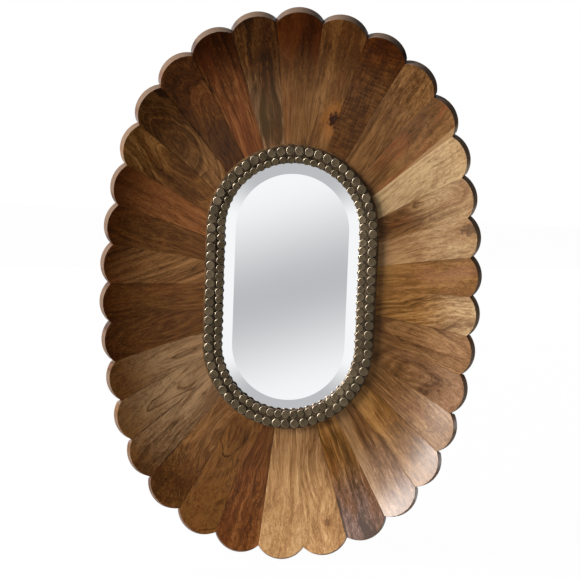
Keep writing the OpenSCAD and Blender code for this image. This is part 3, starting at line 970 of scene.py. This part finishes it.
plywood = sawn_material("plywood", ("9c7a4e", "c9a777"), ("8a6538", "c6a475"))
hardwood = sawn_material("sawn_hardwood", ("5f4226", "8b6540"), ("5f4226", "755231"))
hardboard = hardboard_material()
steel = steel_material()
dress(NODES["backer_board"], plywood)
dress(NODES["moulding_core"], hardwood)
dress(NODES["backing_board"], hardboard)
dress(NODES["back_panel"], hardboard)
dress(NODES["wall_bumpers"], rubber_material())
for node in ("panel_screws", "hanger_screws", "left_strap", "right_strap", "left_ring", "right_ring"):
    dress(NODES[node], steel)
screws = standing_screws("petal_screws", "petal_screw_heads", steel)


# Stage: a pale floor, and a white world for the camera and for what reflects it

FLOOR_FRONT = -0.5
FLOOR_REAR = 4.0
FLOOR_WIDTH = 9.0
FLOOR_GAP = 0.004
FLOOR_GREY = 0.85
# Brightness of the floor in what is glossy, and how far its white covers its shaded grey
FLOOR_SEEN = 0.55
FLOOR_GLOW = 0.98
WHITE = (1.0, 1.0, 1.0, 1.0)


def floor_piece():
    """A floor below the mirror that reaches back from just in front of it."""
    lowest = cad_box[0].z
    middle = (FLOOR_FRONT + FLOOR_REAR) / 2
    bpy.ops.mesh.primitive_plane_add(size=1.0, location=(0.0, middle, lowest - FLOOR_GAP))
    floor = bpy.context.object
    floor.name = "floor"
    floor.scale = (FLOOR_WIDTH, FLOOR_REAR - FLOOR_FRONT, 1.0)
    made = bpy.data.materials.new("floor")
    made.use_nodes = True
    made.node_tree.nodes.clear()
    g = Graph(made.node_tree)
    lit = g.node("ShaderNodeBsdfDiffuse")
    lit.inputs["Color"].default_value = (FLOOR_GREY, FLOOR_GREY, FLOOR_GREY, 1.0)
    glow = g.node("ShaderNodeEmission")
    path = g.node("ShaderNodeLightPath")
    glossy = path.outputs["Is Glossy Ray"]
    seen = g.math("MAXIMUM", path.outputs["Is Camera Ray"], glossy)
    seen = g.math("MAXIMUM", seen, path.outputs["Is Transmission Ray"])
    g.feed(g.math("MULTIPLY_ADD", glossy, FLOOR_SEEN - 1.0, 1.0), glow.inputs["Strength"])
    both = g.blend(g.math("MULTIPLY", seen, FLOOR_GLOW), lit.outputs[0], glow.outputs[0])
    g.feed(both, g.node("ShaderNodeOutputMaterial").inputs[0])
    dress(floor, made)


# What the glass reflects: a white wall in front, dimmer above and below; angles in degrees
WALL_DROP = math.radians(10)
WALL_CENTRE = (0.0, -math.cos(WALL_DROP), -math.sin(WALL_DROP))
WALL_INNER = 16.0
WALL_OUTER = 25.0
WALL_WHITE = 0.95
WALL_DIM = 0.52
DIM_START = 4.0
DIM_END = 11.5
# The rest of the room: dark for the metal and the wood, pale for the glass, which reflects it sharply
DARK_ROOM = 0.03
PALE_ROOM = 0.14
ROOM_FRONT = -0.5
ROOM_RISE = 0.6
ROOM_LEAST = 0.1
# The soft grey band on the wall: its height, half its width, depth, side ends and slope
GREY_CENTRE = -10.0
GREY_HALF = 3.1
GREY_DEPTH = 0.44
GREY_SIDES = (4.5, 8.0)
GREY_TILT = -0.3
# What the dim parts and the band add to green and blue, for a cool tint
DIM_BLUE = 0.03
GREY_BLUE = 0.05
GREY_GREEN = 0.02


def reflected_room(g, path):
    """Colour of the wall and the room, by direction."""
    way = g.node("ShaderNodeTexCoord").outputs["Generated"]
    x, y, z = g.separate(way)
    rise = g.math("DEGREES", g.math("ARCSINE", z))
    turn = g.math("DEGREES", g.math("ARCTAN2", x, g.math("MULTIPLY", y, -1.0)))
    height = g.math("SUBTRACT", rise, GREY_CENTRE)
    tilted = g.math("MULTIPLY_ADD", turn, GREY_TILT, height)
    band = g.step(g.math("ABSOLUTE", tilted), GREY_HALF, 0.0)
    window = g.step(g.math("ABSOLUTE", turn), GREY_SIDES[1], GREY_SIDES[0])
    grey = g.math("MULTIPLY", g.math("MULTIPLY", band, window), GREY_DEPTH)
    lit = g.step(g.math("ABSOLUTE", height), DIM_END, DIM_START)
    lit = g.math("MULTIPLY_ADD", lit, WALL_WHITE - WALL_DIM, WALL_DIM - DARK_ROOM)
    off = g.math("DEGREES", g.math("ARCCOSINE", g.vector("DOT_PRODUCT", way, WALL_CENTRE)))
    on_wall = g.step(off, WALL_OUTER, WALL_INNER)
    wall = g.math("MULTIPLY", lit, on_wall)
    sharp = g.math("MULTIPLY", path.outputs["Is Singular Ray"], g.math("SUBTRACT", 1.0, on_wall))
    pale = g.math("MULTIPLY_ADD", y, ROOM_FRONT, g.math("MULTIPLY_ADD", z, ROOM_RISE, PALE_ROOM))
    room = g.math("MULTIPLY_ADD", sharp, g.math("MAXIMUM", pale, ROOM_LEAST), DARK_ROOM)
    red = g.math("SUBTRACT", g.math("ADD", wall, room), grey)
    green = g.math("MULTIPLY_ADD", grey, GREY_GREEN, red)
    dimmed = g.math("SUBTRACT", WALL_WHITE - DARK_ROOM, lit)
    blue = g.math("MULTIPLY_ADD", dimmed, DIM_BLUE, g.math("MULTIPLY_ADD", grey, GREY_BLUE, red))
    return g.combine(red, green, blue)


def background(g, colour, strength=1.0):
    """Light of one colour from the world."""
    made = g.node("ShaderNodeBackground")
    g.feed(colour, made.inputs["Color"])
    made.inputs["Strength"].default_value = strength
    return made.outputs[0]


def studio_world():
    """White for the camera, the room for what reflects, and a faint even light for the rest."""
    world = bpy.data.worlds.new("studio")
    bpy.context.scene.world = world
    world.use_nodes = True
    world.node_tree.nodes.clear()
    g = Graph(world.node_tree)
    path = g.node("ShaderNodeLightPath")
    shine = background(g, reflected_room(g, path))
    plain = background(g, WHITE, AMBIENT)
    seen = g.math("MAXIMUM", path.outputs["Is Glossy Ray"], path.outputs["Is Transmission Ray"])
    indirect = g.blend(seen, plain, shine)
    whole = g.blend(path.outputs["Is Camera Ray"], indirect, background(g, WHITE))
    g.feed(whole, g.node("ShaderNodeOutputWorld").inputs[0])


def shadow_casters():
    """All that shades the petals from the key, which the moulding hardly does in the photograph."""
    casters = bpy.data.collections.new("shadow_casters")
    for obj in bpy.context.scene.objects:
        name = obj.get("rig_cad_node", obj.name)
        if obj.type == "MESH" and not name.startswith("moulding"):
            casters.objects.link(obj)
    return casters


def soft_lamp(name, direction, distance, size, power, diffuse=True, sparing=None):
    """A rectangular lamp that points at the origin, with only some shadow casters if they are named."""
    lamp = bpy.data.lights.new(name, "AREA")
    lamp.shape = "RECTANGLE"
    lamp.size, lamp.size_y = size
    lamp.energy = power
    obj = bpy.data.objects.new(name, lamp)
    bpy.context.scene.collection.objects.link(obj)
    away = Vector(direction).normalized()
    obj.location = away * distance
    obj.visible_diffuse = diffuse
    if sparing:
        obj.light_linking.blocker_collection = sparing
    obj.rotation_euler = (-away).to_track_quat("-Z", "Y").to_euler()
    return obj


floor_piece()
studio_world()
soft_lamp("key", KEY_DIRECTION, KEY_DISTANCE, KEY_SIZE, KEY_POWER, sparing=shadow_casters())
soft_lamp("sheen", SHEEN_DIRECTION, SHEEN_DISTANCE, SHEEN_SIZE, SHEEN_POWER, diffuse=False)
soft_lamp("rear", REAR_DIRECTION, REAR_DISTANCE, REAR_SIZE, REAR_POWER)


def photo_camera():
    """The camera of the photograph, aimed at the origin and shifted to its pixel there."""
    scene = bpy.context.scene
    data = bpy.data.cameras.new("photo_view")
    data.sensor_width = SENSOR
    data.lens = SENSOR * VIEW_DISTANCE / (FRAME_PIXELS * METRES_PER_PIXEL)
    data.shift_x = (FRAME_PIXELS / 2 - ORIGIN_PIXEL[0]) / FRAME_PIXELS
    data.shift_y = (ORIGIN_PIXEL[1] - FRAME_PIXELS / 2) / FRAME_PIXELS
    data.clip_end = 100.0
    camera = bpy.data.objects.new("photo_view", data)
    scene.collection.objects.link(camera)
    turn = math.radians(VIEW_AZIMUTH)
    rise = math.radians(VIEW_ELEVATION)
    back = Vector((math.sin(turn) * math.cos(rise), -math.cos(turn) * math.cos(rise), math.sin(rise)))
    camera.location = back * VIEW_DISTANCE
    aim = (-back).to_track_quat("-Z", "Y").to_matrix().to_4x4()
    camera.rotation_mode = "QUATERNION"
    camera.rotation_quaternion = (aim @ Matrix.Rotation(math.radians(VIEW_ROLL), 4, "Z")).to_quaternion()
    scene.camera = camera


photo_camera()
bpy.context.scene.view_settings.view_transform = "Standard"
